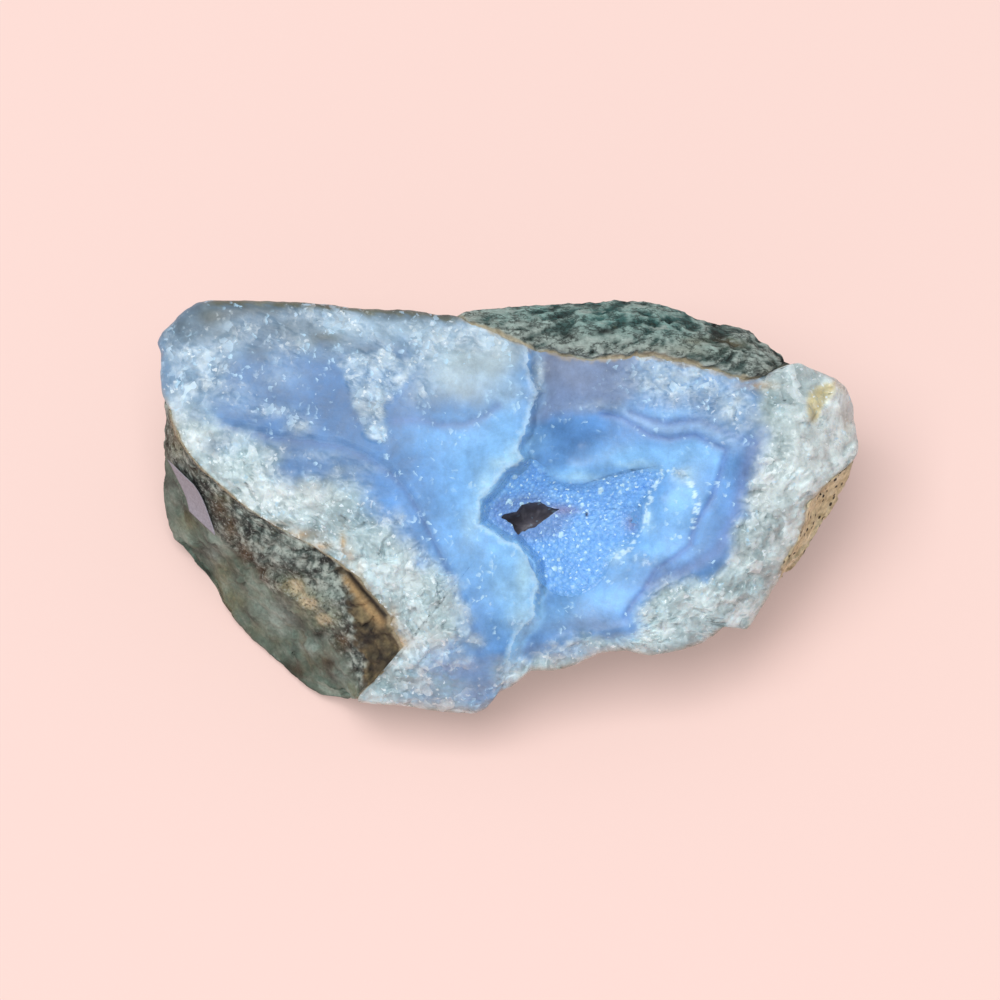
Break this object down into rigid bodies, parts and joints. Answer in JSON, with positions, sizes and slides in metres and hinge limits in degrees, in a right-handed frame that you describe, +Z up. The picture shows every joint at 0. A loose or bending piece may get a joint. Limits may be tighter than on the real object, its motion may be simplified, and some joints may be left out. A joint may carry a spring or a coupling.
{
  "type": "chalcedony specimen",
  "caption": "Broken mineral specimen: blue banded chalcedony and white quartz round a crystal-lined hollow, in a bowl of green-grey host rock, resting on its flat base.",
  "frame": {"origin": "middle of the footprint box, on the table under the stone", "axes": "+X along the stone's length to the right of its open face, +Y to the back, +Z up; the face leans back and looks up and towards -Y"},
  "size_m": [0.1404, 0.0798, 0.0582],
  "materials": {
    "chalcedony": "satin",
    "host_rock": "matte",
    "druse_crust": "gloss",
    "paper_label": "matte"
  },
  "bodies": {
    "root": {"chalcedony": "chalcedony", "host_rock": "host_rock", "druse_crust": "druse_crust", "paper_label": "paper_label"}
  },
  "joints": []
}
